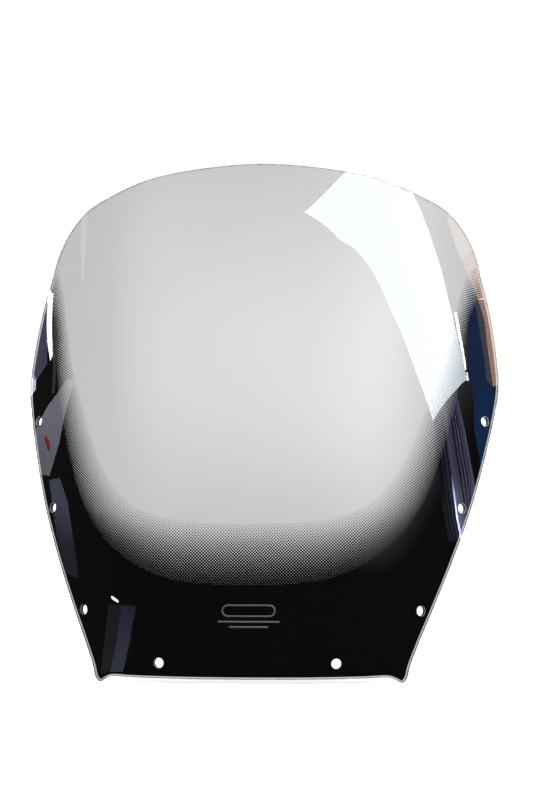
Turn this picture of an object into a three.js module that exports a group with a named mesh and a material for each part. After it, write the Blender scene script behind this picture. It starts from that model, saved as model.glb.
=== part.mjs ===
// Touring windshield screen for a motorcycle fairing, in millimetres with +Z up.
//
// The screen is one sheet of clear acrylic, heated and formed over a mould: a nearly flat middle,
// a soft vertical bend on each side and two almost straight wings swept back from it. Eight plain
// screw holes follow the lower edges. A black border is printed on its rear face, which ends
// towards the window in a band of dots, and a small plain mark is printed on its front face.
//
// X runs across the screen, -Y faces the wind (the front) and Z runs up from the two feet at the
// ends of the bottom edge. The origin is the bottom centre of the whole part's box.
// Inside this file a point of the sheet is named by its x and by its height h above the middle of
// the bottom edge.

import * as THREE from 'three';

// Sheet
const SHEET = 4;                   // thickness of the acrylic
const BEND_AT = 138;               // distance from the middle to each vertical bend
const BEND_SOFTNESS = 32;          // larger is a rounder bend
const CROWN = 2400;                // the whole sheet bows back by x squared over this
const RAKE = -0.06;                // slope of the middle at the bottom edge, forward as it rises
const RAKE_CURVE = 0.00069;        // how fast that slope turns backward with height
const FOOT_DROP = 4;               // how far the feet reach below the middle of the bottom edge
const DEPTH_MIDDLE = 92;           // from the depth of the bottom edge's middle back to the origin

// Outline, right half: [x, h] from the middle of the bottom edge round to the top
const OUTLINE = [
  [0, 0], [62, 0.2], [113, 0.9], [135.5, 1.2], [142.5, -1.6], [147, -4], [151, 0.2],
  [153.8, 11], [163, 36], [175, 66], [192.5, 112], [209.5, 164], [222, 216], [229.5, 256],
  [231.8, 280], [229, 311], [221.5, 355], [213.6, 385], [207.4, 409], [196, 433],
  [178, 454], [150, 470], [113.5, 484.7], [64.9, 494.5],
];
const OUTLINE_TOP = [0, 499.6];
const OUTLINE_STEP = 11;
const HALF_WIDTH = Math.max(...OUTLINE.map(([x]) => x));

// Screw holes, right half: [x, h], from the bottom edge up the side
const HOLES = [[85.6, 15.4], [163.5, 64.7], [200, 162.3], [219.7, 246.3]];
const HOLE_RADIUS = 4.75;
const SEAT_RADIUS = 8.5;           // flat land round each hole, where a screw head sits
const RING_POINTS = 12;

// Ink on the rear face
const INK = 0.4;                   // thickness of a printed layer's solid
const INK_GAP = 0.35;              // between a printed layer and the face it is printed on
const PRINT_MARGIN = 2;            // bare acrylic left along the edge of the sheet
const PRINT_HOLE_RADIUS = 5.25;
const PRINT_LEAN = 0.0065;         // how far the whole print leans to the left per height
const BORDER_TOP = 367;            // height at which the solid black meets the edge
const FADE_TOP = 398;              // height at which the dots have died out along the edge
const BORDER_EDGE = [
  [0, 91], [45, 92], [80, 97.5], [116, 113], [148, 140], [168, 171], [182, 209], [192, 248],
  [199, 282], [202, 308], [204, 330], [207.5, 350], [214, 366],
];
const FADE_EDGE = [
  [0, 149], [39, 150], [78, 153.5], [101, 160], [122, 171.5], [138, 190], [150, 210],
  [158, 229], [165, 248], [179, 288], [186, 312], [191, 338], [197, 368], [204, 392],
];

// Plain mark on the front face
const MARK_X = 2;
const MARK_INK = 0.3;
const MARK_GAP = 0.3;
const MARK_STEP = 4;
const BADGE = { h: 66, length: 52, height: 12, line: 1.6 };
const BARS = [
  { name: 'mark_bar_upper', h: 55.5, length: 60, height: 1.8 },
  { name: 'mark_bar_lower', h: 50.5, length: 38, height: 1.8 },
];

// Mesh
const PANE_PITCH = 17;             // distance between neighbouring points of the sheet
const INK_PITCH = 18;
const CLEARANCE = 0.62;            // free distance round a boundary point, in pitches
const ROW_RATIO = Math.sqrt(3) / 2;
const JITTER = 1e-3;               // breaks ties between points that lie on one circle
const SMALLEST_TRIANGLE = 0.02;

// ---------------------------------------------------------------- the sheet's surface

function bendSlope(x) {
  const side = Math.abs(x);
  const slope = 1 / (1 + Math.exp((BEND_AT - side) / BEND_SOFTNESS)) + 2 * side / CROWN;
  return Math.sign(x) * slope;
}

function rakeSlope(h) {
  return RAKE + 2 * RAKE_CURVE * h;
}

function frontDepth(x, h) {
  const bend = BEND_SOFTNESS * Math.log(1 + Math.exp((Math.abs(x) - BEND_AT) / BEND_SOFTNESS));
  return bend + x * x / CROWN + RAKE * h + RAKE_CURVE * h * h - DEPTH_MIDDLE;
}

// Length along the formed sheet from 0 to the given distance (Simpson's rule)
function developed(slopeAt, distance) {
  const steps = 24;
  const width = distance / steps;
  let sum = 0;
  for (let i = 0; i < steps; i++) {
    const [a, b, c] = [0, 0.5, 1].map((part) => Math.hypot(1, slopeAt((i + part) * width)));
    sum += (a + 4 * b + c) * width / 6;
  }
  return sum;
}

// A point of the sheet: its place u, v on the unrolled sheet, its place in space and its normal
function makePoint(x, h, front, normal) {
  return { x, h, u: developed(bendSlope, x), v: developed(rakeSlope, h), front, normal };
}

function sheetPoint(x, h) {
  const front = new THREE.Vector3(x, frontDepth(x, h), h + FOOT_DROP);
  const normal = new THREE.Vector3(bendSlope(x), -1, rakeSlope(h)).normalize();
  return makePoint(x, h, front, normal);
}

// Points on a circle round a hole, all in the hole's own plane
function seatRing([x, h], radius) {
  const centre = sheetPoint(x, h);
  const across = new THREE.Vector3(0, 0, 1).cross(centre.normal).normalize();
  const up = centre.normal.clone().cross(across);
  return Array.from({ length: RING_POINTS }, (_, i) => {
    const angle = 2 * Math.PI * i / RING_POINTS;
    const place = centre.front.clone()
      .addScaledVector(across, radius * Math.cos(angle))
      .addScaledVector(up, radius * Math.sin(angle));
    return makePoint(place.x, place.z - FOOT_DROP, place, centre.normal);
  });
}

// ---------------------------------------------------------------- outlines

const mirrored = (points) => points.map(([x, h]) => [-x, h]);

// The given [x, h] points with further ones between them, about a step apart, on a smooth curve
function smooth(points, step, closed) {
  const through = points.map(([x, h]) => new THREE.Vector3(x, h, 0));
  const curve = new THREE.CatmullRomCurve3(through, closed, 'centripetal');
  const spans = closed ? points.length : points.length - 1;
  const line = closed ? [] : [points.at(-1)];
  for (let i = spans - 1; i >= 0; i--) {
    const length = through[i].distanceTo(through[(i + 1) % points.length]);
    const pieces = Math.ceil(length / step);
    for (let k = pieces - 1; k >= 0; k--) {
      const place = curve.getPoint((i + k / pieces) / spans);
      line.unshift([place.x, place.y]);
    }
  }
  return line;
}

// Moves each point of a line to its left, measured along the surface
function offsetLeft(points, distance, closed) {
  return points.map(([x, h], i) => {
    const last = points.length - 1;
    const before = points[closed ? (i + last) % points.length : Math.max(i - 1, 0)];
    const after = points[closed ? (i + 1) % points.length : Math.min(i + 1, last)];
    const stretchX = Math.hypot(1, bendSlope(x));
    const stretchH = Math.hypot(1, rakeSlope(h));
    const du = (after[0] - before[0]) * stretchX;
    const dv = (after[1] - before[1]) * stretchH;
    const length = Math.hypot(du, dv);
    return [x - distance * dv / length / stretchX, h + distance * du / length / stretchH];
  });
}

// Both halves of a line that crosses the middle, from the left end to the right end, with the
// slight lean of the print on the sheet
function wholeLine(rightHalf) {
  const upright = [...mirrored(rightHalf.slice(1)).reverse(), ...rightHalf];
  return smooth(upright.map(([x, h]) => [x - PRINT_LEAN * h, h]), OUTLINE_STEP, false);
}

function sheetOutline() {
  const leftHalf = mirrored(OUTLINE.slice(1)).reverse();
  return smooth([...OUTLINE, OUTLINE_TOP, ...leftHalf], OUTLINE_STEP, true);
}

// The print's own edge on one side of the sheet between two heights, going up
function printEdge(side, low, high) {
  const edge = offsetLeft(sheetOutline(), PRINT_MARGIN, true);
  const part = edge.filter(([x, h]) => x * side > 0 && h > low && h < high);
  return part.sort((a, b) => a[1] - b[1]);
}

function borderOutline() {
  const edge = offsetLeft(sheetOutline(), PRINT_MARGIN, true);
  const top = edge.findIndex(([, h]) => h > BORDER_TOP);
  const end = edge.findLastIndex(([, h]) => h > BORDER_TOP);
  const outer = [...edge.slice(end + 1), ...edge.slice(0, top)];
  return [...outer, ...wholeLine(BORDER_EDGE).reverse()];
}

function fadeOutline() {
  const outer = [
    ...printEdge(-1, BORDER_TOP, FADE_TOP).reverse(),
    ...offsetLeft(wholeLine(BORDER_EDGE), INK_GAP, false),
    ...printEdge(1, BORDER_TOP, FADE_TOP),
  ];
  return [...outer, ...wholeLine(FADE_EDGE).reverse()];
}

// A bar with round ends
function pillOutline(length, height, h) {
  const radius = height / 2;
  const shape = new THREE.Path();
  const end = length / 2 - radius;
  shape.moveTo(MARK_X - end, h - radius);
  shape.lineTo(MARK_X + end, h - radius);
  shape.absarc(MARK_X + end, h, radius, -Math.PI / 2, Math.PI / 2);
  shape.lineTo(MARK_X - end, h + radius);
  shape.absarc(MARK_X - end, h, radius, Math.PI / 2, 3 * Math.PI / 2);
  const step = Math.min(MARK_STEP, height);
  const spaced = shape.getSpacedPoints(Math.round(shape.getLength() / step));
  return spaced.slice(0, -1).map((p) => [p.x, p.y]);
}

// ---------------------------------------------------------------- triangles

function withCircle(nodes, a, b, c) {
  const [p, q, r] = [nodes[a], nodes[b], nodes[c]];
  const [bu, bv, cu, cv] = [q.u - p.u, q.v - p.v, r.u - p.u, r.v - p.v];
  const twice = 2 * (bu * cv - bv * cu);
  const u = (cv * (bu * bu + bv * bv) - bv * (cu * cu + cv * cv)) / twice;
  const v = (bu * (cu * cu + cv * cv) - cu * (bu * bu + bv * bv)) / twice;
  return { corners: [a, b, c], u: p.u + u, v: p.v + v, squared: u * u + v * v };
}

// Delaunay triangles of points on the unrolled sheet (Bowyer-Watson), anticlockwise
function delaunay(points) {
  const nodes = points.map((p, i) => ({
    u: p.u + JITTER * Math.sin(12.9898 * i),
    v: p.v + JITTER * Math.cos(78.233 * i),
  }));
  const count = nodes.length;
  const far = 1e4;
  nodes.push({ u: -far, v: -far }, { u: far, v: -far }, { u: 0, v: far });
  let triangles = [withCircle(nodes, count, count + 1, count + 2)];
  for (let i = 0; i < count; i++) {
    const kept = [];
    const rim = new Map();
    for (const triangle of triangles) {
      const apart = (nodes[i].u - triangle.u) ** 2 + (nodes[i].v - triangle.v) ** 2;
      if (apart > triangle.squared) {
        kept.push(triangle);
        continue;
      }
      triangle.corners.forEach((a, k) => {
        const b = triangle.corners[(k + 1) % 3];
        if (!rim.delete(`${b},${a}`)) rim.set(`${a},${b}`, [a, b]);
      });
    }
    for (const [a, b] of rim.values()) kept.push(withCircle(nodes, a, b, i));
    triangles = kept;
  }
  return triangles.map((t) => t.corners).filter((t) => t.every((corner) => corner < count));
}

function contains(loop, place) {
  let inside = false;
  loop.forEach((a, i) => {
    const b = loop[(i + loop.length - 1) % loop.length];
    const crosses = (a.v > place.v) !== (b.v > place.v);
    if (crosses && place.u < (b.u - a.u) * (place.v - a.v) / (b.v - a.v) + a.u) inside = !inside;
  });
  return inside;
}

// Rows of evenly spread points that fill the sheet inside a loop, clear of the fixed points
function fillPoints(loop, fixed, pitch) {
  const inner = [];
  let row = 0;
  for (let h = 0; h < OUTLINE_TOP[1]; h += ROW_RATIO * pitch / Math.hypot(1, rakeSlope(h))) {
    const start = row % 2 ? pitch / 2 : 0;
    for (let x = start; x < HALF_WIDTH; x += pitch / Math.hypot(1, bendSlope(x))) {
      for (const side of x === 0 ? [1] : [1, -1]) inner.push(sheetPoint(side * x, h));
    }
    row += 1;
  }
  const clear = (p) => fixed.every((q) => Math.hypot(p.u - q.u, p.v - q.v) > CLEARANCE * pitch);
  return inner.filter((p) => contains(loop, p) && clear(p));
}

function area(a, b, c) {
  return ((b.u - a.u) * (c.v - a.v) - (b.v - a.v) * (c.u - a.u)) / 2;
}

// Closed solid between two depths below the front face, bounded by a loop, with holes through it
function layer(outline, holes, lands, pitch, near, far) {
  const loop = outline.map(([x, h]) => sheetPoint(x, h));
  const fixed = [...loop, ...holes.flat(), ...lands.flat()];
  const points = pitch ? [...fixed, ...fillPoints(loop, fixed, pitch)] : fixed;
  const triangles = delaunay(points).filter((corners) => {
    const [a, b, c] = corners.map((i) => points[i]);
    const middle = { u: (a.u + b.u + c.u) / 3, v: (a.v + b.v + c.v) / 3 };
    const inHole = holes.some((hole) => contains(hole, middle));
    return contains(loop, middle) && !inHole && area(a, b, c) > SMALLEST_TRIANGLE;
  });

  const count = points.length;
  const index = [];
  const open = new Map();
  for (const [a, b, c] of triangles) {
    index.push(a, b, c, a + count, c + count, b + count);
    for (const [p, q] of [[a, b], [b, c], [c, a]]) {
      if (!open.delete(`${q},${p}`)) open.set(`${p},${q}`, [p, q]);
    }
  }
  for (const [p, q] of open.values()) {
    index.push(q, p, p + count, q, p + count, q + count);
  }
  const faces = [near, far].flatMap((depth) =>
    points.flatMap((p) => p.front.clone().addScaledVector(p.normal, -depth).toArray()));
  const geometry = new THREE.BufferGeometry();
  geometry.setAttribute('position', new THREE.Float32BufferAttribute(faces, 3));
  geometry.setIndex(index);
  geometry.computeVertexNormals();
  return geometry;
}

// ---------------------------------------------------------------- pieces

const allHoles = [...HOLES, ...mirrored(HOLES)];
const lands = allHoles.map((hole) => seatRing(hole, SEAT_RADIUS));

function pane() {
  const bores = allHoles.map((hole) => seatRing(hole, HOLE_RADIUS));
  return layer(sheetOutline(), bores, lands, PANE_PITCH, 0, SHEET);
}

function borderPrint() {
  const near = SHEET + INK_GAP;
  const clear = allHoles.map((hole) => seatRing(hole, PRINT_HOLE_RADIUS));
  return layer(borderOutline(), clear, lands, INK_PITCH, near, near + INK);
}

function fadePrint() {
  const near = SHEET + INK_GAP;
  return layer(fadeOutline(), [], [], INK_PITCH, near, near + INK);
}

function markLayer(outline, hole) {
  const holes = hole.length ? [hole.map(([x, h]) => sheetPoint(x, h))] : [];
  return layer(outline, holes, [], 0, -MARK_GAP - MARK_INK, -MARK_GAP);
}

function badge() {
  const { h, length, height, line } = BADGE;
  const inner = pillOutline(length - 2 * line, height - 2 * line, h);
  return markLayer(pillOutline(length, height, h), inner);
}

const acrylic = new THREE.MeshStandardMaterial({
  color: 0xc9cac8, roughness: 0.04, metalness: 0, transparent: true, opacity: 0.35,
});
const blackInk = new THREE.MeshStandardMaterial({ color: 0x0b0b0c, roughness: 0.35, metalness: 0 });
const fadeInk = new THREE.MeshStandardMaterial({
  color: 0x0b0b0c, roughness: 0.35, metalness: 0, transparent: true, opacity: 0.5,
});
const greyInk = new THREE.MeshStandardMaterial({ color: 0x77797b, roughness: 0.45, metalness: 0 });

const group = new THREE.Group();

function addPiece(name, geometry, material) {
  const mesh = new THREE.Mesh(geometry, material);
  mesh.name = name;
  group.add(mesh);
}

addPiece('screen_pane', pane(), acrylic);
addPiece('border_print', borderPrint(), blackInk);
addPiece('fade_print', fadePrint(), fadeInk);
addPiece('mark_badge', badge(), greyInk);
for (const { name, h, length, height } of BARS) {
  addPiece(name, markLayer(pillOutline(length, height, h), []), greyInk);
}

export default group;
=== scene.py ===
"""The looks of a formed acrylic windshield screen, in metres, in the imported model's frame.

The CAD solids are faceted. Every piece here is made again from the same formulas and outlines at
a fine pitch: the sheet with its polished edge and its holes, the printed border, the dots that
fade it out and the plain mark. X runs across the screen, -Y faces the wind and Z runs up.
A point of the sheet is named by its x and by its height h above the middle of the bottom edge.
"""
import math

import bpy
import numpy as np
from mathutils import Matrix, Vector
from mathutils.geometry import delaunay_2d_cdt

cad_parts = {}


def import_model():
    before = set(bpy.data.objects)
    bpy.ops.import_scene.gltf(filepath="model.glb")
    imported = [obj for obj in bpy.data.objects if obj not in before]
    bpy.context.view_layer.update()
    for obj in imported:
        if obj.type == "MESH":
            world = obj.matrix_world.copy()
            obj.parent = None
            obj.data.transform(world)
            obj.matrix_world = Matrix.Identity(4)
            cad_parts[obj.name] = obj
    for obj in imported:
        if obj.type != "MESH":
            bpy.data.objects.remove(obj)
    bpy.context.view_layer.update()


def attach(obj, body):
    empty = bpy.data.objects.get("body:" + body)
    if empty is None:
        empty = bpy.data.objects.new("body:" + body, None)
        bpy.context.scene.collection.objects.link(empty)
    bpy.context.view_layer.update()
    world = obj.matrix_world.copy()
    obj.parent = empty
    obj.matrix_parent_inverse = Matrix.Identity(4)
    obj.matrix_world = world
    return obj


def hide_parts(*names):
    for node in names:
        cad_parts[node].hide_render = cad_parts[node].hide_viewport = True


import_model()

# ------------------------------------------------------------------ dimensions, as in the CAD

SHEET = 0.004
BEND_AT = 0.138
BEND_SOFTNESS = 0.032
CROWN = 2.4
RAKE = -0.06
RAKE_CURVE = 0.69
FOOT_DROP = 0.004
DEPTH_MIDDLE = 0.092

OUTLINE = [
    (0, 0), (0.062, 0.0002), (0.113, 0.0009), (0.1355, 0.0012), (0.1425, -0.0016),
    (0.147, -0.004), (0.151, 0.0002), (0.1538, 0.011), (0.163, 0.036), (0.175, 0.066),
    (0.1925, 0.112), (0.2095, 0.164), (0.222, 0.216), (0.2295, 0.256), (0.2318, 0.28),
    (0.229, 0.311), (0.2215, 0.355), (0.2136, 0.385), (0.2074, 0.409), (0.196, 0.433),
    (0.178, 0.454), (0.15, 0.47), (0.1135, 0.4847), (0.0649, 0.4945),
]
OUTLINE_TOP = (0, 0.4996)
HOLES = [(0.0856, 0.0154), (0.1635, 0.0647), (0.2, 0.1623), (0.2197, 0.2463)]
HOLE_RADIUS = 0.00475

PRINT_MARGIN = 0.002
PRINT_LEAN = 0.0065          # the print leans to the left by this share of its height
BORDER_TOP = 0.367
FADE_TOP = 0.398
BORDER_EDGE = [
    (0, 0.091), (0.045, 0.092), (0.08, 0.0975), (0.116, 0.113), (0.148, 0.14), (0.168, 0.171),
    (0.182, 0.209), (0.192, 0.248), (0.199, 0.282), (0.202, 0.308), (0.204, 0.33), (0.2075, 0.35),
    (0.214, 0.366),
]
FADE_EDGE = [
    (0, 0.149), (0.039, 0.15), (0.078, 0.1535), (0.101, 0.16), (0.122, 0.1715), (0.138, 0.19),
    (0.15, 0.21), (0.158, 0.229), (0.165, 0.248), (0.179, 0.288), (0.186, 0.312), (0.191, 0.338),
    (0.197, 0.368), (0.204, 0.392),
]

MARK_X = 0.002
BADGE = {"h": 0.066, "length": 0.052, "height": 0.012, "line": 0.0016}
BARS = {
    "mark_bar_upper": {"h": 0.0555, "length": 0.06, "height": 0.0018},
    "mark_bar_lower": {"h": 0.0505, "length": 0.038, "height": 0.0018},
}

# ------------------------------------------------------------------ dimensions of the fine model

PITCH = 0.005                # between neighbouring points inside a face
EDGE_STEP = 0.0018           # between neighbouring points along an edge
RING_POINTS = 40             # round each hole
RIM_STEPS = 4                # over each rounded corner of an edge
EDGE_ROUND = 0.001           # radius of the polished edge
HOLE_ROUND = 0.00035         # radius of the broken edge of a hole
PRINT_CLEAR = 0.00005        # bare ring left round a hole by the print
INK_SINK = 0.00008           # the ink is bonded to the sheet, so it starts just inside its face
INK_PROUD = 0.00004          # how far the ink stands out of the face
DOT_SINK = 0.00010           # the dots are one surface inside the sheet, just before the border
DOT_PITCH = 0.00216          # between neighbouring dots of the fade
ROW_DROOP = 2.2              # forming draws the rows of dots down by this share of their height
                             # for each metre that the sheet is bent back
DOT_ARC = 3                  # straight pieces in a quarter of a dot
LINE_STEP = 0.003            # between points of the lines that the fade is measured from
FADE_LAP = 0.003             # how far the dots run on in front of the solid border
FADE_COVER = (0.08, 0.97)    # ink cover where the dots start and where they meet the border
FADE_HEIGHTS = (0.13, 0.165, 0.26, 0.3)    # heights h between which the fade changes its run,
FADE_POWERS = (1.65, 1.05, 1.0, 1.05)      # from fast near the window to fast near the border
MARK_STEP = 0.0006           # between neighbouring points round the mark
CLEARANCE = 0.6              # free distance round an edge point, in pitches
ROW_RATIO = 0.866            # distance between rows of a face's inner points, in pitches
CHUNK = 2000                 # places that are compared with all others at one time
SMALLEST_GAP = 1e-9          # points of a face nearer than this would be merged
WELD_DIGITS = 7              # decimals of a metre to which neighbouring dots share their points
EDGE_PAINTED_LIGHT_PER_METRE = 1.0            # how much the edge's painted light gains for each metre up: painted shade that darkens its lower part


# ------------------------------------------------------------------ the sheet's surface


def bend_slope(x):
    """How steeply the sheet runs backward across, at x."""
    side = np.abs(x)
    return np.sign(x) * (1 / (1 + np.exp((BEND_AT - side) / BEND_SOFTNESS)) + 2 * side / CROWN)


def rake_slope(h):
    """How steeply the sheet runs backward upward, at h."""
    return RAKE + 2 * RAKE_CURVE * h


def bend_depth(x):
    """How far the bend and the crown put the sheet back, at x."""
    return BEND_SOFTNESS * np.log1p(np.exp((np.abs(x) - BEND_AT) / BEND_SOFTNESS)) + x * x / CROWN


def front_point(x, h):
    depth = bend_depth(x) + RAKE * h + RAKE_CURVE * h * h - DEPTH_MIDDLE
    return np.column_stack([x, depth, h + FOOT_DROP])


def front_normal(x, h):
    normal = np.column_stack([bend_slope(x), -np.ones_like(x), rake_slope(h)])
    return normal / np.linalg.norm(normal, axis=1)[:, None]


def running_length(places, slopes):
    """Length along the formed sheet at each place, zero at place zero."""
    speed = np.hypot(1, slopes)
    steps = (speed[1:] + speed[:-1]) / 2 * np.diff(places)
    length = np.concatenate([[0], np.cumsum(steps)])
    return length - np.interp(0, places, length)


# Places a little way past the sheet's edges, and their lengths along the formed sheet
X_TABLE = np.linspace(-0.26, 0.26, 2601)
U_TABLE = running_length(X_TABLE, bend_slope(X_TABLE))
H_TABLE = np.linspace(-0.03, 0.53, 2801)
V_TABLE = running_length(H_TABLE, rake_slope(H_TABLE))


def unroll(points):
    """[x, h] places to their places on the flat, unrolled sheet."""
    return np.column_stack([
        np.interp(points[:, 0], X_TABLE, U_TABLE), np.interp(points[:, 1], H_TABLE, V_TABLE)])


def roll_up(flat):
    """Places on the flat, unrolled sheet to their [x, h] places."""
    return np.column_stack([
        np.interp(flat[:, 0], U_TABLE, X_TABLE), np.interp(flat[:, 1], V_TABLE, H_TABLE)])


def drawn_down(flat):
    """[x, h] places of the dots' flat lattice: its rows sink towards the wings."""
    places = roll_up(flat)
    places[:, 1] /= 1 + ROW_DROOP * bend_depth(places[:, 0])
    return places


# ------------------------------------------------------------------ outlines


def mirrored(points):
    return [(-x, h) for x, h in points]


def smooth(points, step, closed):
    """Points about a step apart on a centripetal Catmull-Rom curve through the given ones."""
    given = np.array(points, float)
    count = len(given)
    if closed:
        given = np.vstack([given[-1], given, given[:2]])
    else:
        given = np.vstack([2 * given[0] - given[1], given, 2 * given[-1] - given[-2]])
    line = []
    for i in range(count if closed else count - 1):
        p = given[i:i + 4]
        t = np.sqrt(np.linalg.norm(np.diff(p, axis=0), axis=1))
        start = (p[1] - p[0]) / t[0] - (p[2] - p[0]) / (t[0] + t[1]) + (p[2] - p[1]) / t[1]
        end = (p[2] - p[1]) / t[1] - (p[3] - p[1]) / (t[1] + t[2]) + (p[3] - p[2]) / t[2]
        start, end = start * t[1], end * t[1]
        pieces = math.ceil(np.linalg.norm(p[2] - p[1]) / step)
        for s in np.arange(pieces) / pieces:
            line.append(
                (2 * s**3 - 3 * s**2 + 1) * p[1] + (s**3 - 2 * s**2 + s) * start
                + (3 * s**2 - 2 * s**3) * p[2] + (s**3 - s**2) * end)
    return np.array(line if closed else line + [given[-2]])


def whole_line(right_half, step):
    """Both halves of a line of the print, from its left end to its right end."""
    line = smooth(mirrored(right_half[:0:-1]) + right_half, step, False)
    line[:, 0] -= PRINT_LEAN * line[:, 1]
    return line


def sheet_outline(step):
    return smooth(OUTLINE + [OUTLINE_TOP] + mirrored(OUTLINE[:0:-1]), step, True)


def offset_left(points, distance):
    """A closed [x, h] loop with each point moved to its left, measured along the surface."""
    flat = unroll(points)
    along = np.roll(flat, -1, axis=0) - np.roll(flat, 1, axis=0)
    along /= np.linalg.norm(along, axis=1)[:, None]
    return roll_up(flat + distance * np.column_stack([-along[:, 1], along[:, 0]]))


def print_edges(low, high, step):
    """The print's own edges between two heights: (left side going down, right side going up)."""
    edge = offset_left(sheet_outline(step), PRINT_MARGIN)
    part = edge[(edge[:, 1] > low) & (edge[:, 1] < high) & (np.abs(edge[:, 0]) > BEND_AT)]
    left, right = part[part[:, 0] < 0], part[part[:, 0] > 0]
    return left[np.argsort(-left[:, 1])], right[np.argsort(right[:, 1])]


def border_outline(step):
    edge = offset_left(sheet_outline(step), PRINT_MARGIN)
    above = np.nonzero(edge[:, 1] > BORDER_TOP)[0]
    outer = np.vstack([edge[above[-1] + 1:], edge[:above[0]]])
    return np.vstack([outer, whole_line(BORDER_EDGE, step)[::-1]])


def fade_outline(step):
    left, right = print_edges(BORDER_TOP, FADE_TOP, step)
    inner = whole_line(FADE_EDGE, step)[::-1]
    return np.vstack([left, whole_line(BORDER_EDGE, step), right, inner])


def ring(hole, radius, side):
    """A circle round a hole, clockwise seen from the front, laid on the sheet."""
    x, h = np.array([side * hole[0]]), np.array([hole[1]])
    normal = front_normal(x, h)[0]
    across = np.cross((0, 0, 1), normal)
    across /= np.linalg.norm(across)
    up = np.cross(normal, across)
    angles = -2 * math.pi * np.arange(RING_POINTS) / RING_POINTS
    circle = np.outer(np.cos(angles), across) + np.outer(np.sin(angles), up)
    places = front_point(x, h) + radius * circle
    return np.column_stack([places[:, 0], places[:, 2] - FOOT_DROP])


def all_rings(radius):
    return [ring(hole, radius, side) for side in (1, -1) for hole in HOLES]


def pill(length, height, h, clockwise=False):
    """A bar with round ends."""
    radius = height / 2
    end = length / 2 - radius
    straight = np.linspace(-end, end, math.ceil(2 * end / MARK_STEP), endpoint=False)
    turn = np.linspace(-math.pi / 2, math.pi / 2, math.ceil(math.pi * radius / MARK_STEP) + 3)[:-1]
    low = np.column_stack([straight, np.full_like(straight, -radius)])
    cap = np.column_stack([end + radius * np.cos(turn), radius * np.sin(turn)])
    half = np.vstack([low, cap])
    loop = np.vstack([half, -half]) + (MARK_X, h)
    return loop[::-1] if clockwise else loop


# ------------------------------------------------------------------ meshes


def inside(loop, places):
    """Which flat places lie inside a flat loop."""
    result = np.zeros(len(places), bool)
    for a, b in zip(loop, np.roll(loop, 1, axis=0)):
        crosses = (a[1] > places[:, 1]) != (b[1] > places[:, 1])
        reach = (b[0] - a[0]) * (places[:, 1] - a[1]) / ((b[1] - a[1]) or 1) + a[0]
        result ^= crosses & (places[:, 0] < reach)
    return result


def nearest(places, others):
    """Distance from each place to the nearest of the others."""
    result = np.empty(len(places))
    for start in range(0, len(places), CHUNK):
        part = places[start:start + CHUNK, None] - others[None]
        result[start:start + CHUNK] = np.sqrt((part**2).sum(2).min(1))
    return result


def fill(loops, pitch):
    """Flat points on a triangular lattice inside the first loop, clear of all the loops."""
    low, high = loops[0].min(0), loops[0].max(0)
    rows = np.arange(math.floor(low[1] / pitch), math.ceil(high[1] / pitch / ROW_RATIO))
    columns = np.arange(math.floor(low[0] / pitch), math.ceil(high[0] / pitch) + 1)
    column, row = [part.ravel() for part in np.meshgrid(columns, rows)]
    lattice = np.column_stack([(column + 0.5 * (row % 2)) * pitch, row * pitch * ROW_RATIO])
    lattice = lattice[inside(loops[0], lattice)]
    return lattice[nearest(lattice, np.vstack(loops)) > CLEARANCE * pitch]


def face(loops, pitch):
    """Triangles over the area inside the first [x, h] loop and outside the others.

    Points a pitch apart are added inside, or none where the pitch is zero. Returns the [x, h]
    places, loops first, and the triangles, anticlockwise seen from the front.
    """
    flat_loops = [unroll(loop) for loop in loops]
    flat = np.vstack(flat_loops + ([fill(flat_loops, pitch)] if pitch else []))
    edges, start = [], 0
    for loop in loops:
        count = len(loop)
        edges += [(start + i, start + (i + 1) % count) for i in range(count)]
        start += count
    result = delaunay_2d_cdt([Vector(place) for place in flat], edges, [], 0, SMALLEST_GAP)
    if len(result[0]) != len(flat):
        raise ValueError("two points of a face fell on each other")
    triangles = np.array(result[2])
    a, b, c = (flat[triangles[:, k]] for k in range(3))
    area = (b[:, 0] - a[:, 0]) * (c[:, 1] - a[:, 1]) - (b[:, 1] - a[:, 1]) * (c[:, 0] - a[:, 0])
    triangles[area < 0] = triangles[area < 0][:, ::-1]
    middle = (a + b + c) / 3
    keep = inside(flat_loops[0], middle)
    for hole in flat_loops[1:]:
        keep &= ~inside(hole, middle)
    places = np.vstack(loops + [roll_up(flat[start:])])
    return places, triangles[keep]


def make_object(name, points, faces, materials, normals=None, slots=None):
    mesh = bpy.data.meshes.new(name)
    mesh.from_pydata([tuple(p) for p in points], [], [tuple(f) for f in faces])
    for material in materials:
        mesh.materials.append(material)
    if slots is not None:
        mesh.polygons.foreach_set("material_index", np.asarray(slots, np.int32))
    mesh.polygons.foreach_set("use_smooth", np.ones(len(mesh.polygons), bool))
    if normals is not None:
        mesh.normals_split_custom_set_from_vertices([tuple(n) for n in normals])
    mesh.update()
    piece = bpy.data.objects.new(name, mesh)
    bpy.context.scene.collection.objects.link(piece)
    return piece


def rim(loop, rounding):
    """Rows of points and normals over a rounded edge, from the front face to the rear face."""
    front, normal = front_point(*loop.T), front_normal(*loop.T)
    along = np.roll(front, -1, axis=0) - np.roll(front, 1, axis=0)
    outward = np.cross(along, normal)
    outward /= np.linalg.norm(outward, axis=1)[:, None]
    turns = np.linspace(0, math.pi / 2, RIM_STEPS + 1)
    corner = [(rounding * (1 - math.sin(t)), rounding * (1 - math.cos(t)), t) for t in turns]
    corner += [(inset, SHEET - depth, math.pi - t) for inset, depth, t in reversed(corner)]
    rows = [front - outward * inset - normal * depth for inset, depth, _ in corner]
    normals = [normal * math.cos(t) + outward * math.sin(t) for _, _, t in corner]
    return rows, normals


def both_sides(triangles, count):
    """The front's triangles and, turned over, the rear's, whose points come count later."""
    return [tuple(t) for t in triangles] + [tuple(t[::-1] + count) for t in triangles]


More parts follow.
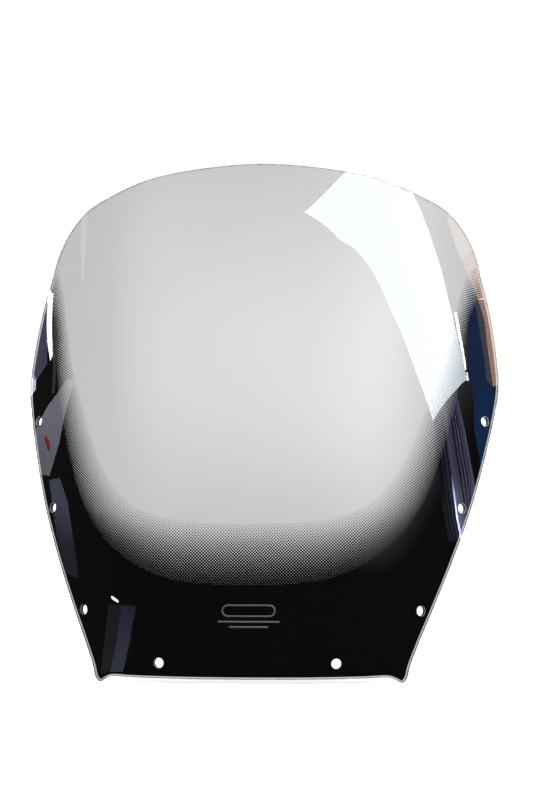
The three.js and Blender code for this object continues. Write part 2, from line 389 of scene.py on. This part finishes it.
def belt(upper, lower):
    """Squares that join two closed rows of points, given by their numbers."""
    return [tuple(square) for square in zip(upper, lower, np.roll(lower, -1), np.roll(upper, -1))]


def pane(materials):
    """The sheet: fine front and rear faces joined by rounded rims at its edge and its holes.

    The materials are for the faces, for the outer edge and the broken front edges of the holes,
    and for the rest of the holes' walls.
    """
    rims = [rim(sheet_outline(EDGE_STEP), EDGE_ROUND)]
    rims += [rim(loop, HOLE_ROUND) for loop in all_rings(HOLE_RADIUS)]
    loops = [np.column_stack([rows[0][:, 0], rows[0][:, 2] - FOOT_DROP]) for rows, _ in rims]
    places, triangles = face(loops, PITCH)
    count = len(places)
    front, normal = front_point(*places.T), front_normal(*places.T)
    rear = front - normal * SHEET
    on_rims = sum(len(loop) for loop in loops)
    front[:on_rims] = np.vstack([rows[0] for rows, _ in rims])
    rear[:on_rims] = np.vstack([rows[-1] for rows, _ in rims])
    normal[:on_rims] = np.vstack([normals[0] for _, normals in rims])

    points, all_normals = [front, rear], [normal, -normal]
    faces = both_sides(triangles, count)
    slots = [0] * len(faces)
    start, extra = 0, 2 * count
    for number, (rows, normals) in enumerate(rims):
        size = len(rows[0])
        ids = [np.arange(start, start + size)]
        for row, turned in zip(rows[1:-1], normals[1:-1]):
            points.append(row)
            all_normals.append(turned)
            ids.append(np.arange(extra, extra + size))
            extra += size
        ids.append(ids[0] + count)
        is_hole = number > 0
        for step, (upper, lower) in enumerate(zip(ids[:-1], ids[1:])):
            faces += belt(upper, lower)
            slots += [2 if is_hole and step >= RIM_STEPS else 1] * size
        start += size
    return make_object(
        "acrylic_sheet", np.vstack(points), faces, materials, np.vstack(all_normals), slots)


def film(name, loops, near, far, pitch, materials):
    """A closed thin layer between two depths below the front face.

    The first material is for its front side and the last for its rear side and its edges.
    """
    places, triangles = face(loops, pitch)
    count = len(places)
    front, normal = front_point(*places.T), front_normal(*places.T)
    faces = both_sides(triangles, count)
    start = 0
    for loop in loops:
        ids = np.arange(start, start + len(loop))
        faces += belt(ids, ids + count)
        start += len(loop)
    slots = np.full(len(faces), len(materials) - 1)
    slots[:len(triangles)] = 0
    points = np.vstack([front - near * normal, front - far * normal])
    return make_object(name, points, faces, materials, slots=slots)


def ink_cover(places):
    """Share of the sheet that the ink covers at [x, h] places in the fade: low at the window."""
    flat = unroll(places)
    to_window = nearest(flat, unroll(whole_line(FADE_EDGE, LINE_STEP)))
    to_border = nearest(flat, unroll(whole_line(BORDER_EDGE, LINE_STEP)))
    to_border[inside(unroll(border_outline(LINE_STEP)), flat)] = 0
    share = to_window / (to_window + to_border)
    power = np.interp(places[:, 1], FADE_HEIGHTS, FADE_POWERS)
    low, high = FADE_COVER
    return low + (high - low) * (1 - (1 - share) ** power)


def dot_shape(cover, turns):
    """Radius, in dot pitches, of a spot that covers the given share, at each angle.

    The spot is a level line of cos + cos: round while small, and a full diamond at one half.
    """
    radius = np.sqrt(cover / math.pi)[:, None] * np.ones_like(turns)
    corner = 0.5 / (np.abs(np.cos(turns)) + np.abs(np.sin(turns)))
    square = np.clip(cover * 2, 0, 1)[:, None] ** 3
    full = corner * np.sqrt(cover * 2)[:, None]
    return radius * (1 - square) + full * square


def on_lattice(half_steps):
    """Flat places of the dots' lattice, whose rows run at 45 degrees."""
    turn = np.array([[1, 1], [-1, 1]]) / math.sqrt(2)
    return half_steps @ turn * (DOT_PITCH / 2)


def fade_quarters():
    """Which quarters of the lattice's squares the fade holds, in half-steps of the lattice."""
    reach = math.ceil(max(U_TABLE[-1], V_TABLE[-1]) * math.sqrt(2) / (DOT_PITCH / 2))
    steps = np.arange(-reach, reach + 1)
    quarters = np.column_stack([part.ravel() for part in np.meshgrid(steps, steps)])
    places = drawn_down(on_lattice(quarters + 0.5))
    outline = fade_outline(LINE_STEP)
    low, high = outline.min(0) - FADE_LAP, outline.max(0) + FADE_LAP
    near = np.all((places > low) & (places < high), axis=1)
    quarters, places = quarters[near], places[near]
    to_border = nearest(unroll(places), unroll(whole_line(BORDER_EDGE, LINE_STEP)))
    laps_border = inside(border_outline(LINE_STEP), places) & (to_border < FADE_LAP)
    return quarters[inside(outline, places) | laps_border]


def spot(cover, corner, first_leg, second_leg):
    """Points round a quarter of a dot, or of a gap, between two legs from its corner."""
    turns = np.linspace(0, math.pi / 2, DOT_ARC + 1)
    radius = 2 * dot_shape(np.clip(cover, 0, 0.5), turns)
    return [corner + radius[:, [k]] * (math.cos(t) * first_leg + math.sin(t) * second_leg)
            for k, t in enumerate(turns)]


def weld(flat, solid, faces):
    """Merge points that share a flat place and leave out the triangles that this closes."""
    keys, index = np.unique(np.round(flat, WELD_DIGITS), axis=0, return_inverse=True)
    index = index.ravel()
    merged = np.zeros((len(keys), 3))
    merged[index] = solid
    welded = [tuple(index[list(corners)]) for corners in faces]
    return merged, [corners for corners in welded if len(set(corners)) == 3]


def fade_dots(material):
    """The dots, as ink: round dots on the window side, a net with round gaps on the border side.

    Each square of the lattice between four dots is cut into quarters. A quarter holds a piece of
    one dot at one corner and a piece of one gap at the opposite corner. Dots sit where both
    half-steps are even and gaps where both are odd.
    """
    quarters = fade_quarters()
    odd = quarters % 2
    dot, gap = quarters + odd, quarters + 1 - odd
    dot_at, gap_at = on_lattice(dot), on_lattice(gap)
    across, up = on_lattice((gap - dot) * (1, 0)), on_lattice((gap - dot) * (0, 1))
    dot_cover, gap_cover = ink_cover(drawn_down(dot_at)), ink_cover(drawn_down(gap_at))
    points, faces = [], []

    def add_fans(corner, arc, flip):
        start = sum(len(part) for part in points)
        size = len(corner)
        points.extend([corner] + arc)
        for k in range(len(arc) - 1):
            a = start + np.arange(size)
            b, c = a + (k + 1) * size, a + (k + 2) * size
            b, c = np.where(flip, c, b), np.where(flip, b, c)
            faces.extend(zip(a, b, c))

    flipped = across[:, 0] * up[:, 1] - across[:, 1] * up[:, 0] < 0
    sparse = (dot_cover + gap_cover) / 2 < 0.5
    dots = spot(dot_cover[sparse], dot_at[sparse], across[sparse], up[sparse])
    add_fans(dot_at[sparse], dots, flipped[sparse])
    dense = ~sparse
    gaps = spot(1 - gap_cover[dense], gap_at[dense], -across[dense], -up[dense])
    sides = [dot_at[dense] + up[dense]] + gaps + [dot_at[dense] + across[dense]]
    add_fans(dot_at[dense], sides, ~flipped[dense])

    flat = np.vstack(points)
    places = drawn_down(flat)
    solid = front_point(*places.T) - (SHEET - DOT_SINK) * front_normal(*places.T)
    return make_object("fade_dots", *weld(flat, solid, faces), [material])


# ------------------------------------------------------------------ materials

IOR = 1.49                   # of the acrylic, and near enough of the ink
NOISE_SPAN = (0.3, 0.7)      # nearly all of a noise lies between these values


def new_material(name):
    material = bpy.data.materials.new(name)
    material.use_nodes = True
    nodes = material.node_tree.nodes
    return material, nodes, material.node_tree.links, nodes["Principled BSDF"]


def add_noise(nodes, links, scale, detail):
    coordinates = nodes.new("ShaderNodeTexCoord")
    noise = nodes.new("ShaderNodeTexNoise")
    noise.inputs["Scale"].default_value = scale
    noise.inputs["Detail"].default_value = detail
    links.new(coordinates.outputs["Object"], noise.inputs["Vector"])
    return noise.outputs["Fac"]


def add_height(nodes, links):
    coordinates = nodes.new("ShaderNodeTexCoord")
    split = nodes.new("ShaderNodeSeparateXYZ")
    links.new(coordinates.outputs["Object"], split.inputs["Vector"])
    return split.outputs["Z"]


def blend_colours(nodes, links, source, socket, dark, light, span=NOISE_SPAN):
    """Blend a socket's colour from dark to light while the source goes over the span."""
    ramp = nodes.new("ShaderNodeValToRGB")
    for stop, position, colour in zip(ramp.color_ramp.elements, span, (dark, light)):
        stop.position = position
        stop.color = (*colour, 1)
    links.new(source, ramp.inputs["Fac"])
    links.new(ramp.outputs["Color"], socket)


def blend_values(nodes, links, source, socket, low, high):
    """Give a socket the low value where the source is 0 and the high one where it is 1."""
    spread = nodes.new("ShaderNodeMapRange")
    spread.inputs["To Min"].default_value = low
    spread.inputs["To Max"].default_value = high
    links.new(source, spread.inputs["Value"])
    links.new(spread.outputs["Result"], socket)


def add_bump(nodes, links, source, shader, strength, distance):
    bump = nodes.new("ShaderNodeBump")
    bump.inputs["Strength"].default_value = strength
    bump.inputs["Distance"].default_value = distance
    links.new(source, bump.inputs["Height"])
    links.new(bump.outputs["Normal"], shader.inputs["Normal"])


def clear_acrylic():
    """Polished acrylic with a very light smoke tint and the faint waves of a formed sheet."""
    material, nodes, links, shader = new_material("clear_acrylic")
    shader.inputs["Transmission Weight"].default_value = 1
    shader.inputs["IOR"].default_value = IOR
    tint = add_noise(nodes, links, scale=5, detail=2)
    blend_colours(nodes, links, tint, shader.inputs["Base Color"],
                  dark=(0.532, 0.537, 0.532), light=(0.552, 0.557, 0.552))
    blend_source = add_noise(nodes, links, scale=60, detail=4)
    blend_values(nodes, links, blend_source, shader.inputs["Roughness"], low=0.0, high=0.02)
    waves = add_noise(nodes, links, scale=9, detail=1)
    add_bump(nodes, links, waves, shader, strength=0.06, distance=0.004)
    return material


def edge_with_painted_shade():
    """The edge of the sheet, a little milky, with painted shade that makes it darker towards the
    bottom, mixed with a cloudy change of tone.
    """
    material, nodes, links, shader = new_material("acrylic_edge")
    shader.inputs["Transmission Weight"].default_value = 0.65
    shader.inputs["IOR"].default_value = IOR
    cloud = add_noise(nodes, links, scale=140, detail=3)
    # Painted shade: the edge's colour runs from dark brown low down to pale cream higher up, by
    # height plus a cloudy noise.
    blend_source = nodes.new("ShaderNodeMath")
    blend_source.operation = "MULTIPLY_ADD"
    links.new(add_height(nodes, links), blend_source.inputs[0])
    blend_source.inputs[1].default_value = EDGE_PAINTED_LIGHT_PER_METRE
    links.new(cloud, blend_source.inputs[2])
    blend_colours(nodes, links, blend_source.outputs["Value"], shader.inputs["Base Color"],
                  dark=(0.27, 0.22, 0.145), light=(0.8, 0.78, 0.7), span=(0.55, 1.0))
    blend_values(nodes, links, cloud, shader.inputs["Roughness"], low=0.2, high=0.4)
    saw = add_noise(nodes, links, scale=900, detail=2)
    add_bump(nodes, links, saw, shader, strength=0.2, distance=0.0003)
    return material


def drilled_wall():
    """The wall of a screw hole: matt from the drill, with a near-black base colour that is painted
    shade, standing in for the shade in the hole and the black ink seen through the wall.
    """
    material, nodes, links, shader = new_material("drilled_acrylic_painted_shade")
    shader.inputs["Transmission Weight"].default_value = 0.2
    shader.inputs["IOR"].default_value = IOR
    marks = add_noise(nodes, links, scale=400, detail=2)
    # Painted shade: the near-black base colour stands in for the shade in the hole and the black
    # ink seen through the clear wall.
    blend_colours(nodes, links, marks, shader.inputs["Base Color"],
                  dark=(0.03, 0.031, 0.04), light=(0.05, 0.052, 0.065))
    blend_values(nodes, links, marks, shader.inputs["Roughness"], low=0.35, high=0.55)
    add_bump(nodes, links, marks, shader, strength=0.3, distance=0.0003)
    return material


def printed_ink(name, dark, light, rough, bonded=False):
    """Screen-printed ink: a dense film with a faint grain in its colour and gloss.

    The side that is bonded to the acrylic has no gloss of its own: the sheet gives it.
    """
    material, nodes, links, shader = new_material(name)
    grain = add_noise(nodes, links, scale=700, detail=3)
    blend_colours(nodes, links, grain, shader.inputs["Base Color"], dark, light)
    blend_values(nodes, links, grain, shader.inputs["Roughness"], *rough)
    shader.inputs["IOR"].default_value = IOR
    if bonded:
        shader.inputs["Specular IOR Level"].default_value = 0
    add_bump(nodes, links, grain, shader, strength=0.15, distance=0.0001)
    return material


def studio_floor():
    """Plain white paper with the faintest change of tone."""
    material, nodes, links, shader = new_material("studio_floor")
    paper = add_noise(nodes, links, scale=3, detail=2)
    dark, light = [(tone, tone, tone) for tone in FLOOR_TONES]
    blend_colours(nodes, links, paper, shader.inputs["Base Color"], dark, light)
    shader.inputs["Roughness"].default_value = 0.9
    shader.inputs["Specular IOR Level"].default_value = 0
    return material


# ------------------------------------------------------------------ pieces

ACRYLIC = clear_acrylic()
EDGE = edge_with_painted_shade()
DRILLED = drilled_wall()
BONDED_BLACK = printed_ink(
    "black_ink_bonded", (0.002, 0.002, 0.0024), (0.0035, 0.0035, 0.0042), (0.35, 0.5), bonded=True)
BLACK = printed_ink("black_ink", (0.0045, 0.0045, 0.005), (0.007, 0.007, 0.008), (0.3, 0.45))
GREY = printed_ink("grey_ink", (0.026, 0.024, 0.026), (0.036, 0.033, 0.036), (0.4, 0.55))


def place(piece, node, slot):
    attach(piece, "root")
    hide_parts(node)


place(pane([ACRYLIC, EDGE, DRILLED]), "screen_pane", "clear_acrylic")

clear_rings = all_rings(HOLE_RADIUS + PRINT_CLEAR)
border = film("printed_border", [border_outline(EDGE_STEP)] + clear_rings,
              SHEET - INK_SINK, SHEET + INK_PROUD, PITCH, [BONDED_BLACK, BLACK])
place(border, "border_print", "black_ink")

place(fade_dots(BONDED_BLACK), "fade_print", "fade_ink")

gap_loop = pill(BADGE["length"] - 2 * BADGE["line"], BADGE["height"] - 2 * BADGE["line"],
                BADGE["h"], clockwise=True)
badge_loops = [pill(BADGE["length"], BADGE["height"], BADGE["h"]), gap_loop]
badge = film("badge_outline", badge_loops, -INK_PROUD, INK_SINK, 0, [GREY])
place(badge, "mark_badge", "grey_ink")
for node, bar in BARS.items():
    loop = pill(bar["length"], bar["height"], bar["h"])
    bar_ink = film(node + "_ink", [loop], -INK_PROUD, INK_SINK, 0, [GREY])
    place(bar_ink, node, "grey_ink")

# ------------------------------------------------------------------ floor, light and camera

FLOOR_SIZE = 400.0
BACKDROP = 1.06                # brightness of the white surroundings
SOFT_LIGHT = 2.4               # brightness of the even light that falls on everything
FLOOR_TONES = (0.915, 0.925)
CAMERA_DISTANCE = 5.0
CAMERA_YAW = math.radians(6)
VIEW_WIDTH = 0.5076            # seen at the aiming point, across the picture
AIM = Vector((0.0201, -0.1, 0.2712))    # the place in the middle of the picture
SENSOR = 36.0                  # millimetres, as Blender gives a sensor and a lens
CAMERA_REACH = 200.0

# The soft bright area that the window mirrors: towards it, how wide it is and how bright.
GLOW_TOWARDS = (0.148, -0.387, 0.502)
GLOW_SPREAD = (1.22, 0.8, 0.523)
GLOW_STRENGTH = 14.0
DIM = 0.08                     # brightness of the rest of the room that it mirrors
MOTTLING = 0.2                 # by what share the brightness of a card varies
SOFTBOX_MOTTLING = 0.03

# Cards that only reflections show. The ceiling card is a long softbox, given as [x, y] corners.
CEILING_HEIGHT = 2.2
SOFTBOX = [
    (0.11, -0.96), (0.56, -1.11), (2.2, -1.19), (6.0, -0.89), (5.67, 0.25), (3.06, -0.02),
    (1.87, -0.24), (0.47, -0.69)]
SOFTBOX_COLOUR = (10.1, 11.2, 12.3)
# The bright rim of the softbox and its lit corner
RIM = [
    (4.01, 0.12), (4.48, 0.14), (5.06, 0.19), (5.36, 0.22), (5.4, 0.26), (5.11, 0.24),
    (4.54, 0.2), (4.07, 0.17)]
CORNER = [(5.47, 0.25), (5.54, 0.32), (5.7, 0.34), (5.79, 0.31), (5.71, 0.24)]
RIM_COLOUR = (26.0, 25.0, 25.0)

# The others stand to the right and to the left. Each has a colour, a fade and its [y, z] corners.
# A fade is the card's brightness low down as a share of that at its top, and the heights z where
# the change starts and ends.
WALL_X = 3.0
EVEN = (1.0, 1.0, 0.0)
RIGHT_CARDS = {
    "pale": ((4.6, 3.7, 3.2), EVEN, [
        (0.22, 2.4), (0.26, 2.1), (0.3, 1.98), (0.65, 1.98), (0.65, 2.4)]),
    "tan": ((3.9, 2.2, 1.6), EVEN, [
        (0.3, 1.98), (0.34, 1.82), (0.38, 1.68), (0.65, 1.68), (0.65, 1.98)]),
    "brown": ((5.6, 3.5, 2.8), EVEN, [
        (0.38, 1.68), (0.4, 1.5), (0.375, 1.32), (0.36, 1.15), (0.65, 1.15), (0.65, 1.68)]),
    "slate": ((0.85, 0.9, 1.25), EVEN, [
        (0.34, 1.82), (0.35, 1.54), (0.34, 1.36), (0.32, 1.2), (0.36, 1.15), (0.375, 1.32),
        (0.4, 1.5), (0.38, 1.68)]),
    "navy": ((0.17, 0.33, 0.95), EVEN, [
        (0.34, 1.82), (0.29, 1.75), (0.21, 1.48), (0.16, 1.3), (0.17, 1.12), (0.32, 1.2),
        (0.34, 1.36), (0.35, 1.54)]),
    "deep_blue": ((0.12, 0.4, 1.2), EVEN, [
        (0.17, 1.12), (0.14, 0.97), (0.16, 0.85), (0.2, 0.62), (0.36, 0.62), (0.36, 1.15),
        (0.32, 1.2)]),
}
LEFT_CARDS = {
    "window": ((14.0, 14.0, 14.0), EVEN, [
        (1.08, 1.42), (1.0, 1.42), (0.92, 1.28), (0.83, 1.16), (0.85, 1.12), (0.94, 1.2)]),
    "frame": ((0.55, 0.4, 0.36), EVEN, [
        (0.99, 1.42), (0.95, 1.4), (0.84, 1.26), (0.77, 1.17), (0.72, 1.0), (0.76, 0.99),
        (0.79, 1.09), (0.83, 1.15), (0.92, 1.28)]),
    "navy": ((0.6, 0.62, 1.05), EVEN, [
        (1.3, 1.42), (1.08, 1.4), (0.94, 1.2), (0.88, 1.1), (0.95, 1.0), (1.3, 1.0)]),
    "lamp": ((6.0, 6.3, 8.0), EVEN, [
        (1.05, 1.02), (0.96, 1.01), (0.94, 0.96), (0.97, 0.92), (1.05, 0.92)]),
    "grey": ((1.85, 1.88, 2.25), (0.75, 0.95, 0.6), [
        (0.42, 1.15), (0.56, 1.12), (0.78, 0.92), (0.86, 0.79), (0.82, 0.6), (0.64, 0.62),
        (0.54, 0.8), (0.5, 0.95)]),
    "blue": ((0.66, 0.7, 1.05), (0.35, 0.55, 0.3), [
        (0.64, 0.6), (0.48, 0.64), (0.3, 0.56), (0.05, 0.32), (-0.05, 0.2), (0.26, 0.2),
        (0.45, 0.35)]),
    "high_strip": ((0.9, 0.9, 1.3), EVEN, [(0.9, 1.96), (0.78, 2.03), (0.56, 1.69), (0.61, 1.66)]),
}
# A small red card hangs just in front of the grey one.
RED_X = -2.99
RED_CARDS = {
    "card": ((1.9, 0.3, 0.2), EVEN, [
        (0.76, 0.77), (0.73, 0.78), (0.68, 0.76), (0.66, 0.72), (0.71, 0.73)]),
}
# More stand nearer, low on the left: the two sides of a folded card and a small lamp on it.
NEAR_X = -1.5
NEAR_CARDS = {
    "dark_side": ((0.27, 0.25, 0.33), EVEN, [
        (-0.57, 0.09), (-0.89, 0.1), (-0.76, -0.05), (-0.59, -0.17), (-0.38, -0.16),
        (-0.49, -0.04)]),
    "lit_side": ((0.42, 0.44, 0.72), (1.7, 0.1, -0.17), [
        (-0.89, 0.1), (-1.32, 0.11), (-1.13, -0.06), (-0.91, -0.2), (-0.59, -0.17),
        (-0.76, -0.05)]),
    "lamp": ((26.0, 25.0, 23.0), EVEN, [
        (-0.62, 0.13), (-0.8, 0.117), (-0.8, 0.105), (-0.62, 0.116)]),
}
# A fluted screen stands at the right. Its flutes lie between two [y, z] lines from top to bottom.
FLUTED_LEFT = [(-0.42, 1.2), (-0.4, 0.95), (-0.36, 0.75), (-0.3, 0.55), (-0.24, 0.42)]
FLUTED_RIGHT = [(-0.01, 1.2), (0.055, 0.95), (0.09, 0.75), (0.105, 0.55), (0.12, 0.42)]
FLUTE_COLOUR = (1.0, 1.02, 1.7)
# Each flute from side to side: its share of the width, its brightness at the top and at the bottom
FLUTES = [
    (0.13, 0.1, 0.25), (0.04, 0.03, 0.04), (0.07, 0.28, 0.4), (0.05, 0.06, 0.1),
    (0.09, 0.36, 0.5), (0.04, 0.03, 0.04), (0.05, 0.6, 22.0), (0.1, 1.0, 2.4), (0.1, 0.7, 1.7),
    (0.05, 0.12, 0.4), (0.04, 0.9, 1.3), (0.05, 0.2, 0.5), (0.02, 1.8, 1.8), (0.04, 0.2, 0.5),
    (0.09, 0.75, 1.3), (0.04, 1.3, 1.5)]
FLUTE_FADE = (0.8, 0.55)       # heights between which a flute goes from one to the other


def floor():
    half = FLOOR_SIZE / 2
    corners = [(-half, -half, 0), (half, -half, 0), (half, half, 0), (-half, half, 0)]
    piece = make_object("studio_floor", corners, [(0, 1, 2, 3)], [studio_floor()])
    piece.visible_glossy = False
    piece.visible_transmission = False


def card(name, corners, colour, fade=EVEN, mottling=MOTTLING):
    """A lit card, mottled a little, that shows in reflections and nowhere else."""
    material = bpy.data.materials.new(name)
    material.use_nodes = True
    nodes, links = material.node_tree.nodes, material.node_tree.links
    nodes.clear()
    light = nodes.new("ShaderNodeEmission")
    light.inputs["Color"].default_value = (*colour, 1)
    mottle = add_noise(nodes, links, scale=3, detail=2)
    gain = nodes.new("ShaderNodeMath")
    gain.operation = "MULTIPLY"
    blend_values(nodes, links, mottle, gain.inputs[0], 1 - mottling, 1 + mottling)
    share_below, fade_from, fade_to = fade
    lower = nodes.new("ShaderNodeMapRange")
    lower.interpolation_type = "SMOOTHSTEP"
    lower.inputs["From Min"].default_value = fade_from
    lower.inputs["From Max"].default_value = fade_to
    lower.inputs["To Min"].default_value = 1
    lower.inputs["To Max"].default_value = share_below
    links.new(add_height(nodes, links), lower.inputs["Value"])
    links.new(lower.outputs["Result"], gain.inputs[1])
    links.new(gain.outputs["Value"], light.inputs["Strength"])
    output = nodes.new("ShaderNodeOutputMaterial")
    links.new(light.outputs["Emission"], output.inputs["Surface"])
    piece = make_object(name, corners, [tuple(range(len(corners)))], [material])
    piece.visible_camera = False
    piece.visible_diffuse = False
    piece.visible_transmission = False
    piece.visible_shadow = False


def fluted_screen():
    left, right = np.array(FLUTED_LEFT), np.array(FLUTED_RIGHT)
    start = 0
    for number, (width, high, low) in enumerate(FLUTES):
        near, far = left + start * (right - left), left + (start + width) * (right - left)
        loop = [(WALL_X, y, z) for y, z in np.vstack([near, far[::-1]])]
        colour = [high * channel for channel in FLUTE_COLOUR]
        card(f"flute_card_{number}", loop, colour, (low / high, *FLUTE_FADE))
        start += width


def cards():
    for name, outline, colour in (
            ("softbox", SOFTBOX, SOFTBOX_COLOUR), ("rim", RIM, RIM_COLOUR),
            ("corner", CORNER, RIM_COLOUR)):
        loop = [(x, y, CEILING_HEIGHT) for x, y in outline]
        card(f"ceiling_{name}_card", loop, colour, mottling=SOFTBOX_MOTTLING)
    for label, wall, shelf in (
            ("right", WALL_X, RIGHT_CARDS), ("left", -WALL_X, LEFT_CARDS),
            ("red", RED_X, RED_CARDS), ("near", NEAR_X, NEAR_CARDS)):
        for name, (colour, fade, corners) in shelf.items():
            card(f"{label}_{name}_card", [(wall, y, z) for y, z in corners], colour, fade)
    fluted_screen()


def greater(nodes, links, first, second):
    """The greater of two sockets' values."""
    larger = nodes.new("ShaderNodeMath")
    larger.operation = "MAXIMUM"
    links.new(first, larger.inputs[0])
    links.new(second, larger.inputs[1])
    return larger.outputs["Value"]


def room_brightness(nodes, links):
    """Brightness of the mirrored room in each direction: dim, with one soft glow."""
    direction = nodes.new("ShaderNodeTexCoord")
    stretch = nodes.new("ShaderNodeMapping")
    stretch.inputs["Scale"].default_value = [1 / spread for spread in GLOW_SPREAD]
    stretch.inputs["Location"].default_value = [-t / s for t, s in zip(GLOW_TOWARDS, GLOW_SPREAD)]
    lobe = nodes.new("ShaderNodeTexGradient")
    lobe.gradient_type = "SPHERICAL"
    glow = nodes.new("ShaderNodeMapRange")
    glow.interpolation_type = "SMOOTHSTEP"
    glow.inputs["To Min"].default_value = DIM
    glow.inputs["To Max"].default_value = GLOW_STRENGTH
    links.new(direction.outputs["Generated"], stretch.inputs["Vector"])
    links.new(stretch.outputs["Vector"], lobe.inputs["Vector"])
    links.new(lobe.outputs["Fac"], glow.inputs["Value"])
    return glow.outputs["Result"]


def world():
    """White where it is seen, directly or through the sheet. Reflections show a dim room."""
    sky = bpy.data.worlds.new("studio")
    sky.use_nodes = True
    nodes, links = sky.node_tree.nodes, sky.node_tree.links
    ray = nodes.new("ShaderNodeLightPath").outputs
    white = nodes["Background"]
    white.inputs["Color"].default_value = (1, 1, 1, 1)
    blend_values(nodes, links, ray["Is Diffuse Ray"], white.inputs["Strength"],
                 low=BACKDROP, high=SOFT_LIGHT)
    room = nodes.new("ShaderNodeBackground")
    links.new(room_brightness(nodes, links), room.inputs["Strength"])
    straight = greater(nodes, links, ray["Is Camera Ray"], ray["Is Transmission Ray"])
    sees_white = greater(nodes, links, straight, ray["Is Diffuse Ray"])
    choose = nodes.new("ShaderNodeMixShader")
    links.new(sees_white, choose.inputs["Fac"])
    links.new(room.outputs["Background"], choose.inputs[1])
    links.new(white.outputs["Background"], choose.inputs[2])
    links.new(choose.outputs["Shader"], nodes["World Output"].inputs["Surface"])
    bpy.context.scene.world = sky


def camera():
    eye = bpy.data.cameras.new("camera")
    eye.sensor_fit = "HORIZONTAL"
    eye.sensor_width = SENSOR
    eye.lens = SENSOR * CAMERA_DISTANCE / VIEW_WIDTH
    eye.clip_end = CAMERA_REACH
    view = bpy.data.objects.new("camera", eye)
    forward = Vector((-math.sin(CAMERA_YAW), math.cos(CAMERA_YAW), 0))
    view.location = AIM - CAMERA_DISTANCE * forward
    view.rotation_euler = (math.pi / 2, 0, CAMERA_YAW)
    bpy.context.scene.collection.objects.link(view)
    bpy.context.scene.camera = view


floor()
world()
cards()
camera()
bpy.context.scene.view_settings.view_transform = "Standard"
